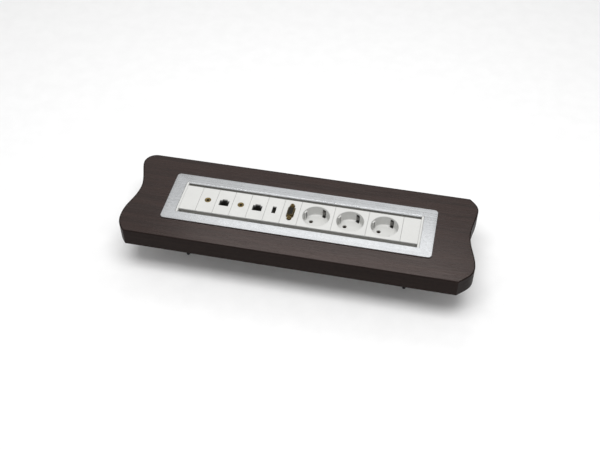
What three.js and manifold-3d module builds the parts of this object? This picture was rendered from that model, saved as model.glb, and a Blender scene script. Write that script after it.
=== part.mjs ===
// Inset power and data strip, clamped in the cut-out of a waved veneered board.
// Millimetres, +Z up, X along the strip, the operator sits on the -Y side.
// Z = 0 is the plane of the four stud tips, the lowest points of the assembly.

import * as THREE from 'three';
import { mergeVertices } from 'three/addons/utils/BufferGeometryUtils.js';
import Module from 'manifold-3d';

const wasm = await Module();
wasm.setup();

// ---------------------------------------------------------------- driving dimensions

// Heights
const FRAME_TOP = 83.5;
const FRAME_THICK = 1.6;
const GASKET_THICK = 0.4;
const BOARD_THICK = 28;
const FRAME_BOTTOM = FRAME_TOP - FRAME_THICK;
const BOARD_TOP = FRAME_BOTTOM - GASKET_THICK;
const BOARD_BOTTOM = BOARD_TOP - BOARD_THICK;

// Board outline: straight long edges, ends with two lobes and a waist between them
const BOARD_HALF_WIDTH = 82;
const RIGHT_END = {
  frontCorner: 238, frontLobe: [258, -51], waist: [247, 9], rearLobe: [254, 59], rearCorner: 240, rearLead: [8, -7],
};
const LEFT_END = {
  frontCorner: 241, frontLobe: [255, -47], waist: [244.5, 10], rearLobe: [258, 64], rearCorner: 239, rearLead: [12, 0],
};
const BAND_THICK = 1.5;
const END_CURVE_STEPS = 8;
const CUTOUT_HALF = { x: 190, y: 43, radius: 8 };

// Visible frame round the strip
const FRAME_HALF = { x: 197, y: 46.75, radius: 5.5 };
const FRAME_EDGE = 0.5;
const OPENING_HALF = { x: 178.5, y: 31.5 };

// Extruded strip profile: a deep trough between two shallow side channels
const MODULE_PITCH = 25;
const PROFILE_HALF_LENGTH = 7 * MODULE_PITCH;
const MODULE_HALF_WIDTH = 24.25;
const TROUGH_WALL = 1.6;
const CHANNEL_OUTER = 29.9;
const CHANNEL_WALL = 1.5;
const CHANNEL_DEPTH = 8;
const TROUGH_DEPTH = 42;
const FLOOR_THICK = 1.5;
const SCREW_PORT = { y: 20.2, depth: 39.2, radius: 1.7, length: 14 };

// Module plates
const PLATE_TOP_DEPTH = 0.2;
const PLATE_THICK = 2;
const PLATE_GAP = 0.3;
const SKIRT_DEPTH = 8;
const SKIRT_WALL = 1.2;

// End caps
const CAP_THICK = 3.2;
const LUG = { y: 14, halfWidth: 5, length: 10, top: 9.6, thick: 3 };

// Socket outlets
const SOCKET_XS = [25, 75, 125];
const PIN_LINE_TURN = THREE.MathUtils.degToRad(27);
const PIN_RADIUS_FROM_CENTRE = 9.5;
const WELL = { rim: 20.9, inner: 19.75, outer: 21.4, depth: 17.5, floor: 2, chamfer: 1.1 };

// Clamps
const STUD = { x: 164, y: 38.5, radius: 2.45 };
const CLAMP_HOLE = 2.9;
const BRACKET = { halfWidth: 10, inner: 25, outer: 66, thick: 3, leg: 2.5, legTop: 62 };
const NUT = { height: 5, flange: 5.9, acrossFlats: 8, flangeHeight: 1.2 };

const ROUND = 32;

// ---------------------------------------------------------------- solids and placing

const depth = (d) => FRAME_TOP - d;

function solidOf(geometry) {
  const bare = geometry.clone();
  bare.deleteAttribute('normal');
  bare.deleteAttribute('uv');
  const welded = mergeVertices(bare, 1e-4);
  const corners = welded.index.array;
  const kept = [];
  for (let i = 0; i < corners.length; i += 3) {
    const [a, b, c] = [corners[i], corners[i + 1], corners[i + 2]];
    if (a !== b && b !== c && c !== a) kept.push(a, b, c);
  }
  const mesh = new wasm.Mesh({
    numProp: 3,
    vertProperties: Float32Array.from(welded.attributes.position.array),
    triVerts: Uint32Array.from(kept),
  });
  return new wasm.Manifold(mesh);
}

function geometryOf(solid) {
  const mesh = solid.getMesh();
  const geometry = new THREE.BufferGeometry();
  geometry.setAttribute('position', new THREE.BufferAttribute(mesh.vertProperties, 3));
  geometry.setIndex(new THREE.BufferAttribute(mesh.triVerts, 1));
  geometry.computeVertexNormals();
  return geometry;
}

function block(x0, x1, y0, y1, z0, z1) {
  const geometry = new THREE.BoxGeometry(x1 - x0, y1 - y0, z1 - z0);
  geometry.translate((x0 + x1) / 2, (y0 + y1) / 2, (z0 + z1) / 2);
  return solidOf(geometry);
}

function prism(shape, z0, z1, curveSegments = 6) {
  const geometry = new THREE.ExtrudeGeometry(shape, { depth: z1 - z0, bevelEnabled: false, curveSegments });
  geometry.translate(0, 0, z0);
  return solidOf(geometry);
}

// A (y, z) section drawn as a Shape and drawn out along X
function alongX(section, x0, x1) {
  const geometry = new THREE.ExtrudeGeometry(section, { depth: x1 - x0, bevelEnabled: false });
  geometry.rotateZ(Math.PI / 2);
  geometry.rotateY(Math.PI / 2);
  geometry.translate(x0, 0, 0);
  return solidOf(geometry);
}

// A turned solid on a vertical axis: radius and height pairs from the bottom centre to the top centre
function turned(pairs, x, y, sides = ROUND) {
  const points = pairs.map(([r, z]) => new THREE.Vector2(r, z));
  const geometry = new THREE.LatheGeometry(points, sides);
  geometry.rotateX(Math.PI / 2);
  geometry.translate(x, y, 0);
  return solidOf(geometry);
}

function rod(radius, x, y, z0, z1, sides = ROUND) {
  return turned([[0, z0], [radius, z0], [radius, z1], [0, z1]], x, y, sides);
}

// A round bar lying along X
function barAlongX(radius, x0, x1, y, z, sides = 16) {
  const geometry = new THREE.CylinderGeometry(radius, radius, x1 - x0, sides);
  geometry.rotateZ(Math.PI / 2);
  geometry.translate((x0 + x1) / 2, y, z);
  return solidOf(geometry);
}

function polygon(points) {
  return new THREE.Shape(points.map(([x, y]) => new THREE.Vector2(x, y)));
}

function roundedRectangle({ x, y, radius }, inset = 0) {
  const [hx, hy, r] = [x - inset, y - inset, Math.max(radius - inset, 0.5)];
  const shape = new THREE.Shape();
  shape.moveTo(-hx + r, -hy);
  shape.lineTo(hx - r, -hy);
  shape.absarc(hx - r, -hy + r, r, -Math.PI / 2, 0);
  shape.lineTo(hx, hy - r);
  shape.absarc(hx - r, hy - r, r, 0, Math.PI / 2);
  shape.lineTo(-hx + r, hy);
  shape.absarc(-hx + r, hy - r, r, Math.PI / 2, Math.PI);
  shape.lineTo(-hx, -hy + r);
  shape.absarc(-hx + r, -hy + r, r, Math.PI, 1.5 * Math.PI);
  return shape;
}

const part = new THREE.Group();

function add(name, solid, color, roughness, metalness) {
  const material = new THREE.MeshStandardMaterial({ color, roughness, metalness });
  const mesh = new THREE.Mesh(geometryOf(solid), material);
  mesh.name = name;
  part.add(mesh);
}

const WENGE = [0x3c322e, 0.5, 0];
const ALUMINIUM = [0xc3c6ca, 0.35, 0.8];
const WHITE = [0xe4e4e0, 0.4, 0];
const BLACK = [0x0d0d0d, 0.5, 0];
const BRASS = [0x8a7a48, 0.35, 0.9];
const STEEL = [0x9a9da0, 0.4, 0.9];
const COPPER = [0xb8926a, 0.35, 0.9];
const FOAM = [0x1c1c1c, 0.9, 0];

// ---------------------------------------------------------------- board and its edge band

// One end of the outline, drawn as a right-hand end, from the front corner to the rear corner
function endCurve({ frontCorner, frontLobe, waist, rearLobe, rearCorner, rearLead }) {
  const point = ([x, y], dx = 0, dy = 0) => new THREE.Vector2(x + dx, y + dy);
  const front = [frontCorner, -BOARD_HALF_WIDTH];
  const rear = [rearCorner, BOARD_HALF_WIDTH];
  const bends = [
    [point(front), point(front, 12, 12), point(frontLobe, 0, -14), point(frontLobe)],
    [point(frontLobe), point(frontLobe, 0, 21), point(waist, 0, -24), point(waist)],
    [point(waist), point(waist, 0, 18), point(rearLobe, 0, -12), point(rearLobe)],
    [point(rearLobe), point(rearLobe, 0, 9), point(rear, ...rearLead), point(rear)],
  ];
  const curves = bends.map((bend) => new THREE.CubicBezierCurve(...bend));
  return curves.flatMap((curve, i) => curve.getPoints(END_CURVE_STEPS).slice(i ? 1 : 0));
}

// The closed outline, moved inwards by a distance with mitred corners
function boardOutline(inset) {
  const right = endCurve(RIGHT_END);
  const left = endCurve(LEFT_END).map((p) => new THREE.Vector2(-p.x, p.y)).reverse();
  const ring = [...right, ...left];
  return ring.map((point, i) => {
    const before = ring[(i + ring.length - 1) % ring.length];
    const after = ring[(i + 1) % ring.length];
    const a = point.clone().sub(before).normalize();
    const b = after.clone().sub(point).normalize();
    const inward = new THREE.Vector2(-a.y - b.y, a.x + b.x).normalize();
    const stretch = 1 / Math.max(inward.dot(new THREE.Vector2(-a.y, a.x)), 0.5);
    return point.clone().addScaledVector(inward, inset * stretch);
  });
}

function makeBoard() {
  const core = new THREE.Shape(boardOutline(BAND_THICK));
  core.holes.push(roundedRectangle(CUTOUT_HALF));
  add('board_core', prism(core, BOARD_BOTTOM, BOARD_TOP), ...WENGE);
  const band = new THREE.Shape(boardOutline(0));
  band.holes.push(new THREE.Path(boardOutline(BAND_THICK)));
  add('edge_band', prism(band, BOARD_BOTTOM, BOARD_TOP), ...WENGE);
}

// ---------------------------------------------------------------- frame, gasket and strip profile

function makeFrame() {
  const { x: openX, y: openY } = OPENING_HALF;
  const plateBody = new THREE.ExtrudeGeometry(roundedRectangle(FRAME_HALF, FRAME_EDGE), {
    depth: FRAME_THICK - 2 * FRAME_EDGE,
    bevelThickness: FRAME_EDGE,
    bevelSize: FRAME_EDGE,
    bevelSegments: 1,
    curveSegments: 6,
  });
  plateBody.translate(0, 0, FRAME_BOTTOM + FRAME_EDGE);
  let frame = solidOf(plateBody);
  // Square pockets for the end caps, and between them an opening whose long lips slope at 45 degrees
  for (const side of [-1, 1]) {
    const xs = [side * (PROFILE_HALF_LENGTH - 0.2), side * openX].sort((a, b) => a - b);
    frame = frame.subtract(block(...xs, -openY, openY, FRAME_BOTTOM - 1, FRAME_TOP + 1));
  }
  const lipFoot = openY - FRAME_THICK;
  const throat = polygon([
    [-lipFoot, FRAME_BOTTOM - 1],
    [lipFoot, FRAME_BOTTOM - 1],
    [lipFoot, FRAME_BOTTOM],
    [openY, FRAME_TOP],
    [openY, FRAME_TOP + 1],
    [-openY, FRAME_TOP + 1],
    [-openY, FRAME_TOP],
    [-lipFoot, FRAME_BOTTOM],
  ]);
  frame = frame.subtract(alongX(throat, -PROFILE_HALF_LENGTH, PROFILE_HALF_LENGTH));
  // Threaded bosses under the ends, which the end caps' lugs are screwed up to
  for (const side of [-1, 1]) {
    for (const y of [-LUG.y, LUG.y]) {
      const x = side * (PROFILE_HALF_LENGTH + CAP_THICK + LUG.length / 2 + 0.4);
      frame = frame.add(rod(4, x, y, depth(LUG.top), FRAME_BOTTOM + 0.2, 20));
      frame = frame.subtract(rod(1.9, x, y, depth(LUG.top) - 1, FRAME_BOTTOM - 0.4, 16));
    }
  }
  add('top_frame', frame, ...ALUMINIUM);

  const gasket = roundedRectangle(FRAME_HALF, 0.9);
  gasket.holes.push(roundedRectangle(CUTOUT_HALF, -0.3));
  add('frame_gasket', prism(gasket, BOARD_TOP, FRAME_BOTTOM), ...FOAM);
}

function makeProfile() {
  const trough = MODULE_HALF_WIDTH - 0.05;
  const inner = trough - TROUGH_WALL;
  const outer = CHANNEL_OUTER + CHANNEL_WALL;
  const plateSeat = depth(PLATE_TOP_DEPTH + PLATE_THICK);
  const channelFloor = depth(CHANNEL_DEPTH);
  const channelUnder = channelFloor - FLOOR_THICK;
  const floor = depth(TROUGH_DEPTH);
  const under = floor - FLOOR_THICK;
  const half = [
    [outer, FRAME_BOTTOM],
    [outer, channelUnder],
    [trough, channelUnder],
    [trough, under],
  ];
  const halfInside = [
    [inner, floor],
    [inner, plateSeat],
    [trough, plateSeat],
    [trough, channelFloor],
    [CHANNEL_OUTER, channelFloor],
    [CHANNEL_OUTER, FRAME_BOTTOM],
  ];
  const mirror = (points) => points.map(([y, z]) => [-y, z]);
  const section = polygon([
    ...half,
    ...mirror(half).reverse(),
    ...mirror(halfInside).reverse(),
    ...halfInside,
  ]);
  let profile = alongX(section, -PROFILE_HALF_LENGTH, PROFILE_HALF_LENGTH);
  // Screw ports in the two lower corners of the trough
  for (const side of [-1, 1]) {
    const ys = [side * inner, side * (SCREW_PORT.y - 2.6)].sort((a, b) => a - b);
    const portTop = depth(SCREW_PORT.depth) + 2.8;
    const port = block(-PROFILE_HALF_LENGTH, PROFILE_HALF_LENGTH, ...ys, floor - 0.1, portTop);
    profile = profile.add(port);
  }
  for (const side of [-1, 1]) {
    for (const y of [-SCREW_PORT.y, SCREW_PORT.y]) {
      const end = side * (PROFILE_HALF_LENGTH + 1);
      const blind = side * (PROFILE_HALF_LENGTH - SCREW_PORT.length);
      const [x0, x1] = [Math.min(end, blind), Math.max(end, blind)];
      profile = profile.subtract(barAlongX(SCREW_PORT.radius, x0, x1, y, depth(SCREW_PORT.depth)));
    }
  }
  // Floor windows: one behind each data module, one for the mains inlet
  for (let i = 0; i < 6; i += 1) {
    const x = -PROFILE_HALF_LENGTH + MODULE_PITCH * (i + 1.5);
    profile = profile.subtract(block(x - 10, x + 10, -15, 15, under - 1, floor + 1));
  }
  profile = profile.subtract(block(INLET.x - 8.3, INLET.x + 8.3, -17.3, 17.3, under - 1, floor + 1));
  add('strip_profile', profile, ...ALUMINIUM);
}

// ---------------------------------------------------------------- end caps and their screws

function makeEndCap(side, name) {
  const inner = side * PROFILE_HALF_LENGTH;
  const outer = side * (PROFILE_HALF_LENGTH + CAP_THICK);
  const [x0, x1] = [Math.min(inner, outer), Math.max(inner, outer)];
  const wide = OPENING_HALF.y - 0.2;
  const top = depth(0.1);
  let cap = block(x0, x1, -wide, wide, depth(CHANNEL_DEPTH + FLOOR_THICK), top);
  cap = cap.add(block(x0, x1, -MODULE_HALF_WIDTH, MODULE_HALF_WIDTH, depth(TROUGH_DEPTH + FLOOR_THICK), top - 1));
  for (const y of [-LUG.y, LUG.y]) {
    const tip = side * (PROFILE_HALF_LENGTH + CAP_THICK + LUG.length);
    const [a, b] = [Math.min(inner, tip), Math.max(inner, tip)];
    const lugTop = depth(LUG.top);
    cap = cap.add(block(a, b, y - LUG.halfWidth, y + LUG.halfWidth, lugTop - LUG.thick, lugTop));
    const x = side * (PROFILE_HALF_LENGTH + CAP_THICK + LUG.length / 2 + 0.4);
    cap = cap.subtract(rod(1.9, x, y, lugTop - LUG.thick - 1, lugTop + 1, 16));
  }
  for (const y of [-SCREW_PORT.y, SCREW_PORT.y]) {
    cap = cap.subtract(barAlongX(1.7, x0 - 1, x1 + 1, y, depth(SCREW_PORT.depth)));
  }
  add(name, cap, ...ALUMINIUM);
}

// A pan-head screw on +Z with a cross slot, its head underneath
function panScrew(length) {
  const screw = turned([[0, -2.2], [2.3, -2.2], [2.9, -1.4], [2.9, 0], [1.5, 0], [1.5, length], [0, length]], 0, 0, 12);
  const slot = block(-2, 2, -0.4, 0.4, -3, -1.3).add(block(-0.4, 0.4, -2, 2, -3, -1.3));
  return screw.subtract(slot);
}

function makeEndScrews() {
  let count = 0;
  for (const side of [-1, 1]) {
    for (const row of [-1, 1]) {
      count += 1;
      const x = side * (PROFILE_HALF_LENGTH + CAP_THICK + LUG.length / 2 + 0.4);
      const upright = panScrew(9.5).translate([x, row * LUG.y, depth(LUG.top + LUG.thick)]);
      add(`frame_screw_${count}`, upright, ...STEEL);
      const lying = panScrew(13).rotate([0, -side * 90, 0]);
      const face = side * (PROFILE_HALF_LENGTH + CAP_THICK);
      const level = lying.translate([face, row * SCREW_PORT.y, depth(SCREW_PORT.depth)]);
      add(`cap_screw_${count}`, level, ...STEEL);
    }
  }
}

// ---------------------------------------------------------------- module plates

// A plate with a skirt that drops between the trough walls, and any cut-outs
function plate(x, units, cuts = []) {
  const half = (units * MODULE_PITCH - PLATE_GAP) / 2;
  const top = depth(PLATE_TOP_DEPTH);
  const under = top - PLATE_THICK;
  const skirtFoot = depth(SKIRT_DEPTH);
  const skirtX = half - 0.9;
  const skirtY = MODULE_HALF_WIDTH - TROUGH_WALL - 0.3;
  let solid = block(x - half, x + half, -MODULE_HALF_WIDTH, MODULE_HALF_WIDTH, under, top);
  const skirt = block(x - skirtX, x + skirtX, -skirtY, skirtY, skirtFoot, under + 0.5);
  const inside = [x - skirtX + SKIRT_WALL, x + skirtX - SKIRT_WALL, -skirtY + SKIRT_WALL, skirtY - SKIRT_WALL];
  solid = solid.add(skirt).subtract(block(...inside, skirtFoot - 1, under));
  for (const cut of cuts) solid = solid.subtract(cut);
  return solid;
}

const through = [depth(PLATE_TOP_DEPTH + PLATE_THICK) - 1, FRAME_TOP + 1];

function makeBlank(name, x) {
  add(name, plate(x, 1), ...WHITE);
}

function makeAudio(index, x) {
  add(`audio_plate_${index}`, plate(x, 1, [rod(4.2, x, 0, ...through, 24)]), ...WHITE);
  const ringTop = depth(-0.3);
  const plateTop = depth(PLATE_TOP_DEPTH);
  const jack = turned([
    [0, depth(19)], [4.4, depth(19)], [4.4, depth(2.5)], [3.9, depth(2.5)], [3.9, plateTop], [4.8, plateTop],
    [4.8, ringTop - 0.2], [4.5, ringTop], [1.8, ringTop], [1.8, depth(14)], [0, depth(14)],
  ], x, 0, 20);
  const tags = block(x - 3, x - 2, -1.5, 1.5, depth(26), depth(18.9)).add(
    block(x + 2, x + 3, -1.5, 1.5, depth(26), depth(18.9)),
  );
  add(`audio_jack_${index}`, jack.add(tags), ...BRASS);
}

// The stepped outline of an eight-way network port, its latch step towards +Y
function networkPort(x, z0, z1) {
  const main = block(x - 5.9, x + 5.9, -4.9, 2, z0, z1);
  return main.add(block(x - 3.1, x + 3.1, -1, 4.9, z0, z1));
}

// The window in the cover, which leaves the jack's dark face showing round its port
function networkWindow(x, z0, z1) {
  const main = block(x - 7.2, x + 7.2, -6.9, 3.9, z0, z1);
  return main.add(block(x - 4, x + 4, -1, 6.2, z0, z1));
}

function makeData(index, x) {
  add(`data_plate_${index}`, plate(x, 1, [networkWindow(x, ...through)]), ...WHITE);
  const face = depth(PLATE_TOP_DEPTH + PLATE_THICK);
  let jack = block(x - 7.4, x + 7.4, -8.2, 8.2, depth(33), face);
  jack = jack.subtract(networkPort(x, depth(15), face + 1));
  // Contact comb and the rear punch-down slots
  jack = jack.add(block(x - 4.6, x + 4.6, -4.9, -3.6, depth(15), depth(6)));
  for (const side of [-1, 1]) {
    const xs = [x + side * 7.4, x + side * 5.6].sort((a, b) => a - b);
    jack = jack.subtract(block(xs[0] - 0.1, xs[1] + 0.1, -5, 5, depth(34), depth(24)));
  }
  add(`data_jack_${index}`, jack, ...BLACK);
}

function makeUsb(x) {
  add('usb_plate', plate(x, 1, [block(x - 2.9, x + 2.9, -6.8, 6.8, ...through)]), ...WHITE);
  const face = depth(PLATE_TOP_DEPTH + PLATE_THICK);
  let port = block(x - 3.6, x + 3.6, -7.6, 7.6, depth(24), face);
  port = port.subtract(block(x - 2.6, x + 2.6, -6.3, 6.3, depth(12), face + 1));
  port = port.add(block(x - 2, x - 0.2, -5.6, 5.6, depth(12.5), depth(3.5)));
  add('usb_port', port, ...BLACK);
}

// The D-shaped outline of the video connector, drawn upright
function videoOutline(x, halfWide, halfLong) {
  const slant = 0.8;
  return polygon([
    [x - halfWide, -halfLong + slant],
    [x - halfWide + 0.8, -halfLong],
    [x + halfWide - 0.8, -halfLong + slant * 1.6],
    [x + halfWide, -halfLong + slant * 2.4],
    [x + halfWide, halfLong - slant * 2.4],
    [x + halfWide - 0.8, halfLong - slant * 1.6],
    [x - halfWide + 0.8, halfLong],
    [x - halfWide, halfLong - slant],
  ]);
}

function makeVideo(x) {
  const window = polygon([
    [x - 3.4, -10.6], [x + 3.4, -10.6], [x + 5.6, -8.2], [x + 5.6, 8.2],
    [x + 3.4, 10.6], [x - 3.4, 10.6], [x - 5.6, 8.2], [x - 5.6, -8.2],
  ]);
  const cuts = [prism(window, ...through)];
  for (const y of [-12.5, 12.5]) cuts.push(rod(3.9, x, y, ...through, 20));
  add('video_plate', plate(x, 1, cuts), ...WHITE);
  const flange = depth(PLATE_TOP_DEPTH + PLATE_THICK);
  let connector = block(x - 6.2, x + 6.2, -15.4, 15.4, flange - 1.2, flange);
  connector = connector.add(prism(videoOutline(x, 4.2, 8.4), flange - 1, flange + 5.4));
  connector = connector.add(block(x - 5.2, x + 5.2, -9.5, 9.5, depth(17), flange - 1));
  for (const y of [-12.5, 12.5]) connector = connector.subtract(rod(1.9, x, y, flange - 4, flange + 1, 16));
  add('video_connector', connector, ...BRASS);
  [-12.5, 12.5].forEach((y, i) => {
    let post = rod(2.9, x, y, flange, flange + 5, 6).add(rod(1.5, x, y, flange - 6, flange + 0.1, 12));
    post = post.subtract(rod(1.3, x, y, flange + 1, flange + 6, 12));
    add(`video_standoff_${i + 1}`, post, ...BRASS);
  });
}

// ---------------------------------------------------------------- socket outlets

const wellFloor = depth(PLATE_TOP_DEPTH + WELL.depth);
const wellUnder = wellFloor - WELL.floor;
const pinLine = [Math.cos(Math.PI - PIN_LINE_TURN), Math.sin(Math.PI - PIN_LINE_TURN)];
const earthLine = [-pinLine[1], pinLine[0]];

// A block that stands on a line through a socket's centre, between two radii
function onLine(x, line, r0, r1, halfWidth, z0, z1) {
  const degrees = THREE.MathUtils.radToDeg(Math.atan2(line[1], line[0]));
  return block(r0, r1, -halfWidth, halfWidth, z0, z1).rotate([0, 0, degrees]).translate([x, 0, 0]);
}

const opposite = (line) => [-line[0], -line[1]];

function makeSocketInsert(index, x) {
  const top = depth(PLATE_TOP_DEPTH);
  let insert = plate(x, 2);
  insert = insert.add(rod(WELL.outer, x, 0, wellUnder, top - 0.5, 48));
  const bore = [
    [0, wellFloor], [WELL.inner - 0.4, wellFloor], [WELL.inner, wellFloor + 2],
    [WELL.inner, top - WELL.chamfer], [WELL.rim, top], [WELL.rim, top + 1], [0, top + 1],
  ];
  insert = insert.subtract(turned(bore, x, 0, 48));
  for (const line of [pinLine, opposite(pinLine)]) {
    insert = insert.add(onLine(x, line, 17.6, 20.6, 2.6, wellFloor - 0.5, top - 3));
    const [px, py] = [x + line[0] * PIN_RADIUS_FROM_CENTRE, line[1] * PIN_RADIUS_FROM_CENTRE];
    insert = insert.subtract(rod(2.9, px, py, wellUnder - 1, wellFloor + 1, 20));
  }
  for (const line of [earthLine, opposite(earthLine)]) {
    insert = insert.subtract(onLine(x, line, 17.4, 24, 2.9, wellUnder - 1, top - 3.6));
  }
  add(`socket_insert_${index}`, insert, ...WHITE);
}

const BASE = { halfX: 23, halfY: 21.2, top: 20, bottom: 40, wall: 1.2 };
const RAIL = { y: 14, thick: 1.2, top: 29, bottom: 36 };

function makeSocketBase(index, x) {
  let base = block(x - BASE.halfX, x + BASE.halfX, -BASE.halfY, BASE.halfY, depth(BASE.bottom), depth(BASE.top));
  const { wall } = BASE;
  const inside = [x - BASE.halfX + wall, x + BASE.halfX - wall, -BASE.halfY + wall, BASE.halfY - wall];
  base = base.subtract(block(...inside, depth(BASE.bottom - wall), depth(BASE.top) + 1));
  // Lower corners stepped in over the screw ports
  for (const side of [-1, 1]) {
    const ys = [side * (BASE.halfY + 1), side * (SCREW_PORT.y - 2.9)].sort((a, b) => a - b);
    base = base.subtract(block(x - 30, x + 30, ...ys, depth(BASE.bottom) - 1, depth(35.8)));
    const shelf = [side * BASE.halfY, side * (SCREW_PORT.y - 4.4)].sort((a, b) => a - b);
    base = base.add(block(x - BASE.halfX, x + BASE.halfX, ...shelf, depth(35.8), depth(34.6)));
    const cheek = [side * (SCREW_PORT.y - 2.9), side * (SCREW_PORT.y - 4.4)].sort((a, b) => a - b);
    base = base.add(block(x - BASE.halfX, x + BASE.halfX, ...cheek, depth(BASE.bottom), depth(35)));
  }
  // Passages for the three rails
  for (const y of [-RAIL.y, RAIL.y]) {
    base = base.subtract(block(x - 30, x + 30, y - 1, y + 1, depth(RAIL.bottom + 0.3) + 1.5, depth(BASE.top) + 1));
  }
  base = base.subtract(block(x - 30, x + 30, -2.4, 2.4, depth(38.4), depth(BASE.top) + 1));
  add(`socket_base_${index}`, base, ...WHITE);
}

const RAIL_START = 6;
const RAIL_END = 153.8;

// A stamped rail with a contact sleeve for one pin of each socket
function makePinRail(name, line, side) {
  const bottom = depth(RAIL.bottom - 1.8);
  const ys = [side * RAIL.y - RAIL.thick / 2, side * RAIL.y + RAIL.thick / 2];
  let rail = block(RAIL_START, RAIL_END, ...ys, bottom, depth(RAIL.top));
  for (const x of SOCKET_XS) {
    const [px, py] = [x + line[0] * PIN_RADIUS_FROM_CENTRE, line[1] * PIN_RADIUS_FROM_CENTRE];
    const reach = [side * RAIL.y, py].sort((a, b) => a - b);
    rail = rail.add(block(px - 2, px + 2, ...reach, depth(32.6), depth(31.4)));
    rail = rail.add(rod(3.2, px, py, depth(34), wellUnder - 0.4, 12));
    rail = rail.subtract(rod(2.4, px, py, depth(35), wellUnder + 1, 12));
    rail = rail.subtract(block(px - 0.5, px + 0.5, py - 4, py + 4, depth(29), wellUnder + 1));
  }
  add(name, rail, ...COPPER);
}

// The earth rail: a flat bar under the sockets and a pair of spring arms in each well
function makeEarthRail() {
  let rail = block(RAIL_START, RAIL_END, -2, 2, depth(38.2), depth(37.2));
  const bridge = wellUnder - 0.5;
  const shoulder = depth(12);
  const armTop = depth(6.5);
  for (const x of SOCKET_XS) {
    rail = rail.add(block(x - 1.5, x + 1.5, -1.5, 1.5, depth(37.3), bridge - 0.5));
    rail = rail.add(onLine(x, earthLine, -20.9, 20.9, 2, bridge - 1, bridge));
    for (const line of [earthLine, opposite(earthLine)]) {
      rail = rail.add(onLine(x, line, 20.1, 20.9, 2, bridge - 0.5, shoulder));
      rail = rail.add(onLine(x, line, 18.3, 20.9, 2, shoulder - 1, shoulder));
      rail = rail.add(onLine(x, line, 18.3, 19.1, 2, shoulder - 0.5, armTop));
      rail = rail.add(onLine(x, line, 18.3, 20.6, 2, armTop - 0.8, armTop));
    }
  }
  add('earth_rail', rail, ...COPPER);
}

// ---------------------------------------------------------------- divider and mains inlet

const INLET = { x: 162.5, bottom: 55 };

function makeDivider() {
  const inner = MODULE_HALF_WIDTH - TROUGH_WALL - 0.35;
  const upper = block(-0.6, 0.6, -inner, inner, depth(36), depth(2.6));
  const lower = block(-0.6, 0.6, -17.3, 17.3, depth(TROUGH_DEPTH), depth(35.9));
  add('divider', upper.add(lower), ...WHITE);
}

function makeInlet() {
  const { x, bottom } = INLET;
  const seat = depth(TROUGH_DEPTH + FLOOR_THICK);
  let inlet = block(x - 8, x + 8, -17, 17, depth(bottom), depth(27));
  inlet = inlet.add(block(x - 10, x + 10, -20, 20, seat - 2, seat));
  inlet = inlet.subtract(block(x - 5.5, x + 5.5, -14, 14, depth(bottom) - 1, depth(43)));
  for (const y of [-8.5, 0, 8.5]) {
    inlet = inlet.add(rod(1.6, x, y, depth(bottom - 2), depth(42), 12));
  }
  add('mains_inlet', inlet, ...BLACK);
}

// ---------------------------------------------------------------- studs and clamps

function makeClamp(index, sx, sy) {
  const x = sx * STUD.x;
  const y = sy * STUD.y;
  const stud = turned([
    [0, 0], [STUD.radius - 0.6, 0], [STUD.radius, 0.8], [STUD.radius, FRAME_BOTTOM - 1.2],
    [4.4, FRAME_BOTTOM - 1.2], [4.4, FRAME_BOTTOM], [0, FRAME_BOTTOM],
  ], x, y, 20);
  add(`mounting_stud_${index}`, stud, ...STEEL);

  const bottom = BOARD_BOTTOM - BRACKET.thick;
  const [x0, x1] = [x - BRACKET.halfWidth, x + BRACKET.halfWidth];
  const ys = [sy * BRACKET.inner, sy * BRACKET.outer].sort((a, b) => a - b);
  const legYs = [sy * BRACKET.inner, sy * (BRACKET.inner + BRACKET.leg)].sort((a, b) => a - b);
  let bracket = block(x0, x1, ...ys, bottom, BOARD_BOTTOM);
  bracket = bracket.add(block(x0, x1, ...legYs, bottom, BRACKET.legTop));
  bracket = bracket.subtract(rod(CLAMP_HOLE, x, y, bottom - 1, BOARD_BOTTOM + 1, 20));
  add(`clamp_bracket_${index}`, bracket, ...STEEL);

  const across = NUT.acrossFlats / Math.sqrt(3);
  let nut = rod(across, x, y, bottom - NUT.height, bottom, 6);
  nut = nut.add(rod(NUT.flange, x, y, bottom - NUT.flangeHeight, bottom, 24));
  nut = nut.subtract(rod(CLAMP_HOLE, x, y, bottom - NUT.height - 1, bottom + 1, 20));
  add(`clamp_nut_${index}`, nut, ...STEEL);
}

// ---------------------------------------------------------------- assembly

const moduleX = (i) => -PROFILE_HALF_LENGTH + MODULE_PITCH * (i + 0.5);

makeBoard();
makeFrame();
makeProfile();
makeEndCap(-1, 'end_cap_left');
makeEndCap(1, 'end_cap_right');
makeEndScrews();
makeBlank('blank_plate_left', moduleX(0));
makeAudio(1, moduleX(1));
makeData(1, moduleX(2));
makeAudio(2, moduleX(3));
makeData(2, moduleX(4));
makeUsb(moduleX(5));
makeVideo(moduleX(6));
SOCKET_XS.forEach((x, i) => makeSocketInsert(i + 1, x));
SOCKET_XS.forEach((x, i) => makeSocketBase(i + 1, x));
makeBlank('blank_plate_right', moduleX(13));
makePinRail('live_rail', pinLine, 1);
makePinRail('neutral_rail', opposite(pinLine), -1);
makeEarthRail();
makeDivider();
makeInlet();
makeClamp(1, -1, -1);
makeClamp(2, 1, -1);
makeClamp(3, 1, 1);
makeClamp(4, -1, 1);

export default part;
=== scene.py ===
import math

import bpy
from mathutils import Matrix, Vector


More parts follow.
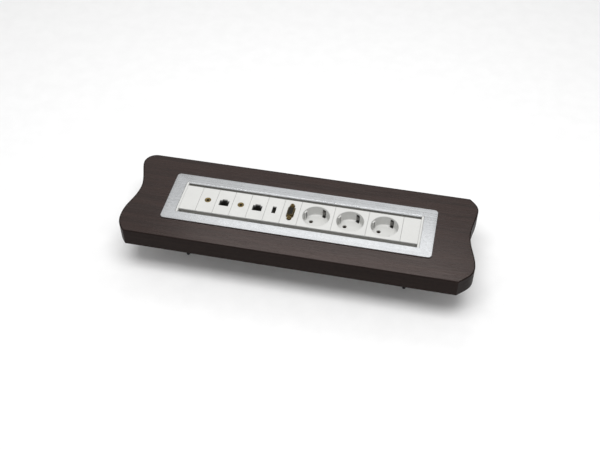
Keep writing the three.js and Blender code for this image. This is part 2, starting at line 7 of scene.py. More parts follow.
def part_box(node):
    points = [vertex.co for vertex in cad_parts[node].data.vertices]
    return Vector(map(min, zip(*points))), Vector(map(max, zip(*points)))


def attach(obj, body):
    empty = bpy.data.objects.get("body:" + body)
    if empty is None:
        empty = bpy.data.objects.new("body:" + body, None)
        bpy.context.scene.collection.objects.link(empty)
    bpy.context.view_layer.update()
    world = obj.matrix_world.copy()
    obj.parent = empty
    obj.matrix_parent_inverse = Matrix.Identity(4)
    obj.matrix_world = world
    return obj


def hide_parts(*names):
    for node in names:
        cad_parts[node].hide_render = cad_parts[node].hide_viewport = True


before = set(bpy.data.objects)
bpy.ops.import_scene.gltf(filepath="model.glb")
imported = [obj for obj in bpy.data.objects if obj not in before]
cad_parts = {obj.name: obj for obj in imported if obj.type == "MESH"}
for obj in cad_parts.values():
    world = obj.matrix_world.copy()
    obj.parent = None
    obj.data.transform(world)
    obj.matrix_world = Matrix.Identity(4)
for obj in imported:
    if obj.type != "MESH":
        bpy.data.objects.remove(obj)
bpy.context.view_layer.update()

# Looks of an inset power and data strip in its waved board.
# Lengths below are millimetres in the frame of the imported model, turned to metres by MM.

MM = 0.001


def height(node, side):
    """Lowest (0) or highest (1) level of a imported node, in millimetres."""
    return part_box(node)[side].z / MM


FRAME_TOP = height("top_frame", 1)
FRAME_BOTTOM = FRAME_TOP - 1.6
BOARD_BOTTOM = height("board_core", 0)
BOARD_TOP = height("board_core", 1)
PLATE_TOP = height("blank_plate_left", 1)
PLATE_UNDER = PLATE_TOP - 2
STRIP_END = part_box("strip_profile")[1].x / MM
MODULE_PITCH = 25
MODULE_HALF_WIDTH = 24.25
WALL = 1.5
CHANNEL_FLOOR = FRAME_TOP - 8
CHANNEL_UNDER = CHANNEL_FLOOR - WALL
TROUGH_FLOOR = FRAME_TOP - 42
TROUGH_UNDER = TROUGH_FLOOR - WALL
OPENING_HALF_WIDTH = 31.5
SOCKET_XS = (25, 75, 125)
PIN_LINE = math.radians(153)
EARTH_LINE = PIN_LINE + math.pi / 2
STUD_X = 164
STUD_Y = 38.5
STUDS = {1: (-STUD_X, -STUD_Y), 2: (STUD_X, -STUD_Y), 3: (STUD_X, STUD_Y), 4: (-STUD_X, STUD_Y)}
CLAMP_THICKNESS = 3
CLAMP_UNDER = BOARD_BOTTOM - CLAMP_THICKNESS
CUT_OUT_HALF_LENGTH = 190
CUT_OUT_HALF_WIDTH = 43


def module_x(place):
    """Middle of a module place, counted from the left."""
    return -STRIP_END + MODULE_PITCH * (place + 0.5)


# ------------------------------------------------------------------ workshop

def pick_up(piece):
    """Makes one piece the only one selected."""
    if bpy.context.object and bpy.context.object.mode != "OBJECT":
        bpy.ops.object.mode_set(mode="OBJECT")
    bpy.ops.object.select_all(action="DESELECT")
    bpy.context.view_layer.objects.active = piece
    piece.select_set(True)


def settle(piece):
    """Leaves a piece at the origin, unturned and unscaled, with its place in its mesh."""
    pick_up(piece)
    bpy.ops.object.transform_apply(location=True, rotation=True, scale=True)
    return piece


def stock(name, x, y, z, turned=0.0):
    """A squared block between three pairs of limits, turned about the upright line at the origin."""
    bpy.ops.object.select_all(action="DESELECT")
    bpy.ops.mesh.primitive_cube_add(size=1)
    piece = bpy.context.object
    piece.name = name
    piece.scale = [(b - a) * MM for a, b in (x, y, z)]
    piece.location = [(a + b) / 2 * MM for a, b in (x, y, z)]
    settle(piece)
    if turned:
        piece.rotation_euler.z = turned
        settle(piece)
    return piece


def draw_out(x=0.0, y=0.0, z=0.0):
    """Extrudes the selected faces by a distance."""
    bpy.ops.mesh.extrude_region_move(TRANSFORM_OT_translate={"value": (x * MM, y * MM, z * MM)})


def face_outwards():
    """Turns every face of the piece being shaped outwards, and ends its shaping."""
    bpy.ops.mesh.select_all(action="SELECT")
    bpy.ops.mesh.normals_make_consistent(inside=False)
    bpy.ops.object.mode_set(mode="OBJECT")


def turn(name, profile, x=0.0, y=0.0, sides=32):
    """A piece turned on an upright axis, from (radius, height) pairs that start at one flat end."""
    radius, level = profile[0]
    bpy.ops.object.select_all(action="DESELECT")
    bpy.ops.mesh.primitive_circle_add(
        vertices=sides, radius=radius * MM, fill_type="NGON", location=(x * MM, y * MM, level * MM)
    )
    piece = bpy.context.object
    piece.name = name
    bpy.ops.object.mode_set(mode="EDIT")
    for next_radius, next_level in profile[1:]:
        draw_out(z=next_level - level)
        grow = next_radius / radius
        if grow != 1:
            middle = (x * MM, y * MM, next_level * MM)
            bpy.ops.transform.resize(value=(grow, grow, 1), center_override=middle)
        radius, level = next_radius, next_level
    face_outwards()
    return settle(piece)


def on_side(piece, place, turned):
    """Lays a piece over about the Y axis and moves it to its place."""
    piece.rotation_euler.y = turned
    piece.location = [v * MM for v in place]
    return settle(piece)


def mark(piece, kind, wanted):
    """Goes into edit mode with only the wanted faces or edges selected, by middle and direction."""
    pick_up(piece)
    bpy.ops.object.mode_set(mode="EDIT")
    bpy.ops.mesh.select_mode(type=kind)
    bpy.ops.mesh.select_all(action="DESELECT")
    bpy.ops.object.mode_set(mode="OBJECT")
    mesh = piece.data
    if kind == "FACE":
        for face in mesh.polygons:
            face.select = wanted(face.center / MM, face.normal)
    else:
        for edge in mesh.edges:
            a, b = (mesh.vertices[i].co / MM for i in edge.vertices)
            edge.select = wanted((a + b) / 2, (b - a).normalized())
    bpy.ops.object.mode_set(mode="EDIT")


def round_over(piece, width, segments, wanted):
    """Rounds the wanted edges."""
    mark(piece, "EDGE", wanted)
    bpy.ops.mesh.bevel(offset=width * MM, segments=segments)
    bpy.ops.object.mode_set(mode="OBJECT")
    return piece


def upright(middle, along):
    """Picks edges that stand upright."""
    return abs(along.z) > 0.9


def at_level(level):
    """Picks edges that lie at one level."""
    return lambda middle, along: abs(middle.z - level) < 0.02 and abs(along.z) < 0.1


def work(piece, operation, tools):
    """Works a piece with each tool in turn, and puts the tools away."""
    for tool in tools:
        pick_up(piece)
        step = piece.modifiers.new(operation.lower(), "BOOLEAN")
        step.operation = operation
        step.solver = "EXACT"
        step.object = tool
        bpy.ops.object.modifier_apply(modifier=step.name)
        bpy.data.objects.remove(tool)
    return piece


def carve(piece, *tools):
    """Cuts the tools' shapes out of a piece."""
    return work(piece, "DIFFERENCE", tools)


def weld(piece, *others):
    """Makes a piece one body with the others."""
    return work(piece, "UNION", others)


def soften(piece, width, segments=2, angle=35):
    """Breaks every sharp edge by a small radius."""
    pick_up(piece)
    bevel = piece.modifiers.new("soft_edges", "BEVEL")
    bevel.width = width * MM
    bevel.segments = segments
    bevel.limit_method = "ANGLE"
    bevel.angle_limit = math.radians(angle)
    bpy.ops.object.modifier_apply(modifier=bevel.name)
    return piece


def copied(piece, name, x=0.0, y=0.0, z=0.0, mirror=None):
    """A copy with its own mesh, moved, or mirrored across the plane of one axis."""
    pick_up(piece)
    bpy.ops.object.duplicate(linked=False)
    other = bpy.context.object
    other.name = name
    other.location = (x * MM, y * MM, z * MM)
    if mirror is not None:
        other.scale[mirror] = -1
    settle(other)
    if mirror is not None:
        bpy.ops.object.mode_set(mode="EDIT")
        face_outwards()
    return other


def joined(name, pieces):
    """Puts several bodies into one object, keeping each one's own finish."""
    pick_up(pieces[0])
    for piece in pieces[1:]:
        piece.select_set(True)
    bpy.ops.object.join()
    pieces[0].name = name
    return pieces[0]


def dress(piece, *finishes):
    """Gives a piece its finishes, one to a slot."""
    piece.data.materials.clear()
    for finish in finishes:
        piece.data.materials.append(finish)
    return piece


def fit(piece, slot, *nodes, body="root", crease=35):
    """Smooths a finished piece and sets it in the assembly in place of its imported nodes."""
    pick_up(piece)
    bpy.ops.object.shade_smooth_by_angle(angle=math.radians(crease))
    flats = piece.modifiers.new("flat_faces_lead", "WEIGHTED_NORMAL")
    flats.keep_sharp = True
    bpy.ops.object.modifier_apply(modifier=flats.name)
    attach(piece, body)
    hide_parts(*nodes)
    return piece


# ------------------------------------------------------------------ shared effects

def effect(name, inputs, outputs):
    """A shader node group with named inputs (with start values) and named outputs."""
    group = bpy.data.node_groups.new(name, "ShaderNodeTree")
    for label, kind, value in inputs:
        socket = group.interface.new_socket(name=label, in_out="INPUT", socket_type=kind)
        socket.default_value = value
    for label, kind in outputs:
        group.interface.new_socket(name=label, in_out="OUTPUT", socket_type=kind)
    source = group.nodes.new("NodeGroupInput")
    result = group.nodes.new("NodeGroupOutput")
    return group, source.outputs, result.inputs


def link(tree, source, target):
    """Joins one socket to another."""
    tree.links.new(source, target)


def noise(tree, vector, scale, detail=2.0, roughness=0.5):
    """A cloudy value between about 0.3 and 0.7."""
    node = tree.nodes.new("ShaderNodeTexNoise")
    link(tree, vector, node.inputs["Vector"])
    node.inputs["Scale"].default_value = scale
    node.inputs["Detail"].default_value = detail
    node.inputs["Roughness"].default_value = roughness
    return node.outputs["Fac"]


def stretched(tree, vector, scale):
    """Coordinates multiplied along each axis."""
    node = tree.nodes.new("ShaderNodeMapping")
    link(tree, vector, node.inputs["Vector"])
    node.inputs["Scale"].default_value = scale
    return node.outputs["Vector"]


def spread(tree, value, low, high, out_low=0.0, out_high=1.0):
    """Maps a varying value from one range to another, held at the ends."""
    node = tree.nodes.new("ShaderNodeMapRange")
    link(tree, value, node.inputs["Value"])
    node.inputs["From Min"].default_value = low
    node.inputs["From Max"].default_value = high
    node.inputs["To Min"].default_value = out_low
    node.inputs["To Max"].default_value = out_high
    return node.outputs["Result"]


def reckon(tree, operation, a, b):
    """One sum on two values, each a socket or a number."""
    node = tree.nodes.new("ShaderNodeMath")
    node.operation = operation
    for value, target in zip((a, b), node.inputs):
        if isinstance(value, (int, float)):
            target.default_value = value
        else:
            link(tree, value, target)
    return node.outputs["Value"]


def blend(tree, factor, a, b, way="MIX"):
    """Mixes two colours, each a socket or a colour."""
    node = tree.nodes.new("ShaderNodeMix")
    node.data_type = "RGBA"
    node.blend_type = way
    link(tree, factor, node.inputs["Factor"])
    for value, target in zip((a, b), (node.inputs["A"], node.inputs["B"])):
        if isinstance(value, tuple):
            target.default_value = (*value, 1)
        else:
            link(tree, value, target)
    return node.outputs["Result"]


def make_drawn_lines():
    """Fine parallel lines, as left by brushing, rolling or extruding."""
    group, given, gives = effect(
        "drawn_lines",
        [("Vector", "NodeSocketVector", (0, 0, 0)), ("Depth", "NodeSocketFloat", 0.5)],
        [("Lines", "NodeSocketFloat"), ("Height", "NodeSocketFloat")],
    )
    fine = noise(group, given["Vector"], 1.0, 3.0, 0.65)
    broad = noise(group, given["Vector"], 0.22, 2.0, 0.5)
    fine_part = reckon(group, "MULTIPLY", fine, 0.65)
    broad_part = reckon(group, "MULTIPLY", broad, 0.35)
    lines = spread(group, reckon(group, "ADD", fine_part, broad_part), 0.35, 0.65)
    link(group, lines, gives["Lines"])
    link(group, reckon(group, "MULTIPLY", lines, given["Depth"]), gives["Height"])
    return group


def make_wood_figure():
    """Dark open-pored wood: soft bands, fine streaks and short pores along X."""
    group, given, gives = effect(
        "wood_figure",
        [("Vector", "NodeSocketVector", (0, 0, 0))],
        [("Band", "NodeSocketFloat"), ("Streaks", "NodeSocketFloat"),
         ("Pores", "NodeSocketFloat"), ("Height", "NodeSocketFloat")],
    )
    drift = noise(group, stretched(group, given["Vector"], (4, 9, 9)), 1.0, 2.0)
    sway = group.nodes.new("ShaderNodeVectorMath")
    sway.operation = "MULTIPLY_ADD"
    sway.inputs[1].default_value = (0.0, 0.010, 0.010)
    link(group, drift, sway.inputs[0])
    link(group, given["Vector"], sway.inputs[2])
    wavy = sway.outputs["Vector"]
    bands = noise(group, stretched(group, wavy, (5, 120, 120)), 1.0, 4.0, 0.65)
    lines = noise(group, stretched(group, wavy, (20, 480, 480)), 1.0, 3.0, 0.7)
    specks = noise(group, stretched(group, wavy, (90, 1500, 1500)), 1.0, 1.0, 0.5)
    streaks = spread(group, lines, 0.34, 0.66)
    pores = spread(group, specks, 0.60, 0.70)
    link(group, spread(group, bands, 0.36, 0.64), gives["Band"])
    link(group, streaks, gives["Streaks"])
    link(group, pores, gives["Pores"])
    sunk = reckon(group, "SUBTRACT", reckon(group, "MULTIPLY", streaks, 0.5), pores)
    link(group, sunk, gives["Height"])
    return group


def make_fine_grit():
    """The even, very fine texture of moulded plastic or foam, with soft cloudy handling marks."""
    group, given, gives = effect(
        "fine_grit",
        [("Vector", "NodeSocketVector", (0, 0, 0)), ("Scale", "NodeSocketFloat", 2500.0)],
        [("Grit", "NodeSocketFloat"), ("Clouds", "NodeSocketFloat")],
    )
    grit = group.nodes.new("ShaderNodeTexNoise")
    link(group, given["Vector"], grit.inputs["Vector"])
    link(group, given["Scale"], grit.inputs["Scale"])
    grit.inputs["Detail"].default_value = 2.0
    link(group, grit.outputs["Fac"], gives["Grit"])
    link(group, spread(group, noise(group, given["Vector"], 38.0, 3.0), 0.35, 0.65), gives["Clouds"])
    return group


def make_edge_wear():
    """A broken mask along outward edges, where handling brightens or rubs the finish."""
    group, given, gives = effect(
        "edge_wear",
        [("Vector", "NodeSocketVector", (0, 0, 0)), ("Reach", "NodeSocketFloat", 0.56)],
        [("Mask", "NodeSocketFloat")],
    )
    shape = group.nodes.new("ShaderNodeNewGeometry")
    edge = group.nodes.new("ShaderNodeMapRange")
    link(group, shape.outputs["Pointiness"], edge.inputs["Value"])
    edge.inputs["From Min"].default_value = 0.51
    link(group, given["Reach"], edge.inputs["From Max"])
    broken = spread(group, noise(group, given["Vector"], 260.0, 3.0), 0.38, 0.62, 0.35, 1.0)
    link(group, reckon(group, "MULTIPLY", edge.outputs["Result"], broken), gives["Mask"])
    return group


DRAWN_LINES = make_drawn_lines()
WOOD_FIGURE = make_wood_figure()
FINE_GRIT = make_fine_grit()
EDGE_WEAR = make_edge_wear()


class Finish:
    """A material on its way to being finished: its tree, its shader and its own coordinates."""

    def __init__(self, name, colour, **constants):
        self.material = bpy.data.materials.new(name)
        self.material.use_nodes = True
        self.tree = self.material.node_tree
        self.shader = next(n for n in self.tree.nodes if n.type == "BSDF_PRINCIPLED")
        self.material.diffuse_color = (*colour, 1)
        self.shader.inputs["Base Color"].default_value = (*colour, 1)
        for label, value in constants.items():
            self.shader.inputs[label.replace("_", " ")].default_value = value
        self.place = self.tree.nodes.new("ShaderNodeTexCoord").outputs["Object"]

    def effect(self, group, vector, **values):
        """Places a shared effect with its own values."""
        node = self.tree.nodes.new("ShaderNodeGroup")
        node.node_tree = group
        link(self.tree, vector, node.inputs["Vector"])
        for label, value in values.items():
            node.inputs[label].default_value = value
        return node.outputs

    def feed(self, label, socket):
        """Joins a varying value to the shader."""
        link(self.tree, socket, self.shader.inputs[label])

    def raise_surface(self, heights, distance, strength):
        """Raises the surface by a height field, its distance in millimetres."""
        bump = self.tree.nodes.new("ShaderNodeBump")
        bump.inputs["Distance"].default_value = distance * MM
        bump.inputs["Strength"].default_value = strength
        link(self.tree, heights, bump.inputs["Height"])
        self.feed("Normal", bump.outputs["Normal"])


# ------------------------------------------------------------------ finishes

def scaled(colour, factor):
    """A colour made lighter or darker."""
    return tuple(min(1.0, v * factor) for v in colour)


def wood_finish(name, axes, dark, pale, gloss, shine):
    """Dark wenge laminate with a satin surface; axes stretch the figure over the piece."""
    finish = Finish(name, dark, Specular_IOR_Level=shine, Specular_Tint=(1.0, 0.86, 0.82, 1.0))
    tree = finish.tree
    figure = finish.effect(WOOD_FIGURE, stretched(tree, finish.place, axes))
    banded = blend(tree, figure["Band"], dark, pale)
    streaked = blend(tree, reckon(tree, "MULTIPLY", figure["Streaks"], 0.5), banded, scaled(dark, 0.45))
    pored = blend(tree, reckon(tree, "MULTIPLY", figure["Pores"], 0.75), streaked, scaled(dark, 0.3))
    worn = finish.effect(EDGE_WEAR, finish.place, Reach=0.60)
    rubbed = blend(tree, reckon(tree, "MULTIPLY", worn["Mask"], 0.35), pored, scaled(pale, 2.0))
    finish.feed("Base Color", rubbed)
    finish.feed("Roughness", spread(tree, figure["Streaks"], 0, 1, gloss - 0.05, gloss + 0.09))
    finish.raise_surface(figure["Height"], 0.03, 0.6)
    return finish.material


def metal_finish(name, colour, shade, gloss, axes, depth, lift, wear, clouds):
    """Bare or plated metal with drawn lines along the longest stretch of its axes."""
    finish = Finish(name, colour, Metallic=1.0)
    tree = finish.tree
    lines = finish.effect(DRAWN_LINES, stretched(tree, finish.place, axes), Depth=depth)
    grit = finish.effect(FINE_GRIT, finish.place, Scale=900.0)
    drawn = blend(tree, lines["Lines"], scaled(colour, shade), colour)
    cloudy = blend(tree, reckon(tree, "MULTIPLY", grit["Clouds"], clouds * 4), drawn, scaled(colour, 0.82))
    worn = finish.effect(EDGE_WEAR, finish.place, Reach=0.60)
    bright = blend(tree, reckon(tree, "MULTIPLY", worn["Mask"], wear), cloudy, scaled(colour, 1.25))
    finish.feed("Base Color", bright)
    rough = spread(tree, lines["Lines"], 0, 1, gloss - 0.06, gloss + 0.06)
    finish.feed("Roughness", reckon(tree, "ADD", rough, reckon(tree, "MULTIPLY", grit["Clouds"], clouds)))
    finish.raise_surface(lines["Height"], lift, 0.5)
    return finish.material


def plastic_finish(name, colour, gloss, tint, grit_size=1900.0, lift=0.012, **constants):
    """Moulded plastic: very fine grit, faint clouds and slightly rubbed edges."""
    finish = Finish(name, colour, **constants)
    tree = finish.tree
    grit = finish.effect(FINE_GRIT, finish.place, Scale=grit_size)
    worn = finish.effect(EDGE_WEAR, finish.place, Reach=0.62)
    clouded = blend(tree, reckon(tree, "MULTIPLY", grit["Clouds"], 0.5), colour, tint)
    pale = tuple(min(0.95, v * 1.12 + 0.01) for v in colour)
    rubbed = blend(tree, reckon(tree, "MULTIPLY", worn["Mask"], 0.3), clouded, pale)
    speckled = blend(tree, spread(tree, grit["Grit"], 0.3, 0.7, 0.0, 0.12), rubbed, tint)
    finish.feed("Base Color", speckled)
    finish.feed("Roughness", spread(tree, grit["Clouds"], 0, 1, gloss - 0.04, gloss + 0.05))
    finish.raise_surface(grit["Grit"], lift, 0.5)
    return finish.material


def chipboard_finish():
    """The raw edge of the board inside its cut-out: pressed wood chips."""
    finish = Finish("pressed_chips", (0.36, 0.25, 0.15), Roughness=0.85)
    tree = finish.tree
    chips = tree.nodes.new("ShaderNodeTexVoronoi")
    chips.inputs["Scale"].default_value = 420
    link(tree, stretched(tree, finish.place, (1, 1, 2.2)), chips.inputs["Vector"])
    grit = finish.effect(FINE_GRIT, finish.place, Scale=700.0)
    depth = spread(tree, chips.outputs["Distance"], 0.0, 0.75)
    tone = blend(tree, depth, (0.46, 0.33, 0.20), (0.20, 0.13, 0.075))
    dusty = blend(tree, reckon(tree, "MULTIPLY", grit["Grit"], 0.5), tone, (0.55, 0.42, 0.28))
    finish.feed("Base Color", dusty)
    finish.raise_surface(chips.outputs["Distance"], 0.35, 0.8)
    return finish.material


WENGE_TOP = wood_finish("wenge_face", (1, 1, 1), (0.004, 0.0014, 0.001), (0.018, 0.0080, 0.006), 0.23, 0.76)
WENGE_EDGE = wood_finish(
    "wenge_edging", (0.35, 0.35, 3.0), (0.005, 0.0025, 0.002), (0.013, 0.0075, 0.006), 0.50, 0.1
)
CHIPS = chipboard_finish()

# name, colour, darkest line, gloss, stretch of the lines, their depth, lift in millimetres, wear, clouds
BRUSHED, EXTRUDED, ZINC, ROLLED, BRASS, SHELL, NICKEL, BLACKED, GILT, STAMPED_PAINTED_SHADE = (
    metal_finish(*recipe) for recipe in (
        ("brushed_aluminium_face", (0.70, 0.715, 0.73), 0.93, 0.26, (6, 1500, 1500), 1.0, 0.003, 0.5, 0.05),
        ("extruded_aluminium", (0.44, 0.435, 0.42), 0.78, 0.42, (3, 900, 900), 1.0, 0.012, 0.3, 0.05),
        ("zinc_plate", (0.66, 0.68, 0.70), 0.85, 0.33, (260, 260, 900), 0.6, 0.01, 0.25, 0.12),
        ("rolled_zinc_sheet", (0.62, 0.64, 0.66), 0.82, 0.36, (900, 30, 900), 0.8, 0.01, 0.25, 0.12),
        ("dull_gilt_brass", (0.25, 0.185, 0.08), 0.6, 0.40, (700, 700, 900), 0.6, 0.008, 0.25, 0.12),
        ("dark_brass_shell", (0.20, 0.155, 0.075), 0.7, 0.42, (600, 600, 900), 0.6, 0.008, 0.25, 0.12),
        ("nickelled_spring", (0.19, 0.185, 0.175), 0.75, 0.36, (40, 700, 700), 0.6, 0.008, 0.25, 0.12),
        ("blackened_steel", (0.045, 0.045, 0.047), 0.7, 0.42, (260, 260, 900), 0.6, 0.01, 0.25, 0.12),
        ("gilt_contact", (0.80, 0.62, 0.28), 0.85, 0.25, (1500, 300, 300), 0.5, 0.004, 0.25, 0.05),
        # Stamped contact metal, partly painted shade: dull brass contacts, darkened further so that the
        # contacts seen through the pin holes read dark.
        ("stamped_contact_painted_shade", (0.26, 0.20, 0.13), 0.7, 0.42, (40, 700, 700), 0.6, 0.008, 0.25, 0.12),
    )
)

WHITE = plastic_finish("white_moulding", (0.605, 0.605, 0.59), 0.38, (0.56, 0.56, 0.543))
CREAM = plastic_finish("natural_moulding", (0.66, 0.65, 0.60), 0.5, (0.58, 0.57, 0.52))
BLACK = plastic_finish("black_moulding", (0.018, 0.018, 0.019), 0.42, (0.030, 0.029, 0.028))
DARK = plastic_finish(
    "dark_insulator", (0.010, 0.008, 0.005), 0.6, (0.016, 0.013, 0.009), Specular_IOR_Level=0.25
)
# Black foam for the gasket, partly painted shadow: its black draws the dark shadow line under the frame's
# edge.
FOAM_PAINTED_SHADOW = plastic_finish("closed_cell_foam_painted_shadow", (0.012, 0.012, 0.012), 0.85, (0.022, 0.022, 0.022), 1100.0, 0.08)

# The gasket's black foam is partly painted shadow: a dark line under the frame's edge.
for node_name, finish in (
    ("frame_gasket", FOAM_PAINTED_SHADOW), ("divider", CREAM), ("live_rail", STAMPED_PAINTED_SHADE), ("neutral_rail", STAMPED_PAINTED_SHADE),
    ("earth_rail", NICKEL), ("socket_base_1", CREAM), ("socket_base_2", CREAM), ("socket_base_3", CREAM),
):
    dress(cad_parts[node_name], finish)


# ------------------------------------------------------------------ board

RIGHT_END = ((238, -82), (258, -51), (247, 9), (254, 59), (240, 82))
LEFT_END = ((241, -82), (255, -47), (244.5, 10), (258, 64), (239, 82))
END_HANDLES = ((None, (12, 12)), ((0, -14), (0, 21)), ((0, -24), (0, 18)), ((0, -12), (0, 9)))
RIGHT_REAR_HANDLE = (8, -7)
LEFT_REAR_HANDLE = (12, 0)
BAND = 1.5


def end_bends(points, rear_handle, side):
    """Points of one end, each with its handles; side -1 is the left end, run from rear to front."""
    bends = []
    for (x, y), (before, after) in zip(points, (*END_HANDLES, (rear_handle, None))):
        handles = [None if h is None else (side * (x + h[0]), y + h[1]) for h in (before, after)]
        bends.append(((side * x, y), *handles[::side]))
    return bends[::side]


def board_blank():
    """The board's outline as one flat face."""
    bends = end_bends(RIGHT_END, RIGHT_REAR_HANDLE, 1) + end_bends(LEFT_END, LEFT_REAR_HANDLE, -1)
    bpy.ops.object.select_all(action="DESELECT")
    bpy.ops.curve.primitive_bezier_circle_add(location=(0, 0, BOARD_BOTTOM * MM))
    curve = bpy.context.object
    curve.data.dimensions = "2D"
    curve.data.fill_mode = "NONE"
    curve.data.resolution_u = 12
    line = curve.data.splines[0]
    line.bezier_points.add(len(bends) - len(line.bezier_points))
    for point, (place, before, after) in zip(line.bezier_points, bends):
        point.handle_left_type = "FREE" if before else "VECTOR"
        point.handle_right_type = "FREE" if after else "VECTOR"
        point.co = (place[0] * MM, place[1] * MM, 0)
        if before:
            point.handle_left = (before[0] * MM, before[1] * MM, 0)
        if after:
            point.handle_right = (after[0] * MM, after[1] * MM, 0)
    bpy.ops.object.convert(target="MESH")
    blank = bpy.context.object
    bpy.ops.object.mode_set(mode="EDIT")
    bpy.ops.mesh.select_all(action="SELECT")
    bpy.ops.mesh.edge_face_add()
    bpy.ops.object.mode_set(mode="OBJECT")
    return settle(blank)


def thicken(piece, low, high):
    """Draws a flat face at board level out to a slab between two levels."""
    mark(piece, "FACE", lambda middle, normal: True)
    bpy.ops.transform.translate(value=(0, 0, (low - BOARD_BOTTOM) * MM))
    draw_out(z=high - low)
    face_outwards()
    return piece


def inner_blank(outer, name):
    """The outline drawn in by the edging's thickness."""
    inner = copied(outer, name)
    mark(inner, "FACE", lambda middle, normal: True)
    bpy.ops.mesh.inset(thickness=BAND * MM, use_even_offset=True)
    bpy.ops.mesh.select_all(action="INVERT")
    bpy.ops.mesh.delete(type="FACE")
    bpy.ops.object.mode_set(mode="OBJECT")
    return inner


def make_board():
    """The veneered board with its cut-out, and the edging strip round it."""
    outer = board_blank()
    core = thicken(inner_blank(outer, "veneered_board"), BOARD_BOTTOM, BOARD_TOP)
    inside = thicken(inner_blank(outer, "edging_bore"), BOARD_BOTTOM - 2, BOARD_TOP + 2)
    edging = thicken(outer, BOARD_BOTTOM, BOARD_TOP)
    edging.name = "veneer_edging"
    rims = lambda m, a: at_level(BOARD_TOP)(m, a) or at_level(BOARD_BOTTOM)(m, a)
    round_over(edging, 0.7, 3, rims)
    carve(edging, inside)
    round_over(core, 0.12, 1, rims)
    long, wide = CUT_OUT_HALF_LENGTH, CUT_OUT_HALF_WIDTH
    cut_out = stock("cut_out", (-long, long), (-wide, wide), (BOARD_BOTTOM - 2, BOARD_TOP + 2))
    round_over(cut_out, 8, 8, upright)
    carve(core, cut_out)
    dress(core, WENGE_TOP, CHIPS)
    mark(core, "FACE", lambda m, n: abs(n.z) < 0.5 and abs(m.x) < long + 1 and abs(m.y) < wide + 1)
    core.active_material_index = 1
    bpy.ops.object.material_slot_assign()
    bpy.ops.object.mode_set(mode="OBJECT")
    fit(core, "wenge_board", "board_core")
    fit(dress(edging, WENGE_EDGE), "wenge_board", "edge_band")


# ------------------------------------------------------------------ frame and extruded strip

BOSS_X = 183.6
LUG_Y = 14
LUG_TOP = FRAME_TOP - 9.6
END_THICKNESS = 3.2
END_SCREW_Y = 20.2
END_SCREW_LEVEL = FRAME_TOP - 39.2
FOUR_WAYS = ((-1, -1), (-1, 1), (1, -1), (1, 1))


def make_frame():
    """The flat frame, its throat narrowing downwards, with four screw bosses underneath."""
    plate = stock("aluminium_frame", (-197, 197), (-46.75, 46.75), (FRAME_BOTTOM, FRAME_TOP))
    round_over(plate, 5.5, 10, upright)
    round_over(plate, 0.5, 3, at_level(FRAME_TOP))
    round_over(plate, 0.25, 1, at_level(FRAME_BOTTOM))
    wide = OPENING_HALF_WIDTH
    past = 0.4
    through = (FRAME_BOTTOM - past, FRAME_TOP + past)
    throat = stock("throat", (-STRIP_END, STRIP_END), (-wide - past, wide + past), through)
    mark(throat, "FACE", lambda m, n: n.z < -0.9)
    narrow = (wide - 2.0) / (wide + past)
    bpy.ops.transform.resize(value=(1, narrow, 1), center_override=(0, 0, 0))
    bpy.ops.object.mode_set(mode="OBJECT")
    pockets = [
        stock("pocket", sorted((side * (STRIP_END - 0.2), side * (STRIP_END + 3.5))), (-wide, wide),
              (FRAME_BOTTOM - 1, FRAME_TOP + 1))
        for side in (-1, 1)
    ]
    carve(plate, throat, *pockets)
    soften(plate, 0.1, 1, 40)
    boss = [(3.6, LUG_TOP), (4, LUG_TOP + 0.5), (4, FRAME_BOTTOM - 1), (4.8, FRAME_BOTTOM + 0.2)]
    bore = [(2.3, LUG_TOP - 1), (2.3, LUG_TOP), (1.9, LUG_TOP + 0.5), (1.9, FRAME_BOTTOM - 0.4)]
    for sx, sy in FOUR_WAYS:
        x, y = sx * BOSS_X, sy * LUG_Y
        weld(plate, turn("boss", boss, x, y))
        carve(plate, turn("bore", bore, x, y, 24))
    fit(dress(plate, BRUSHED), "brushed_aluminium", "top_frame", crease=28)


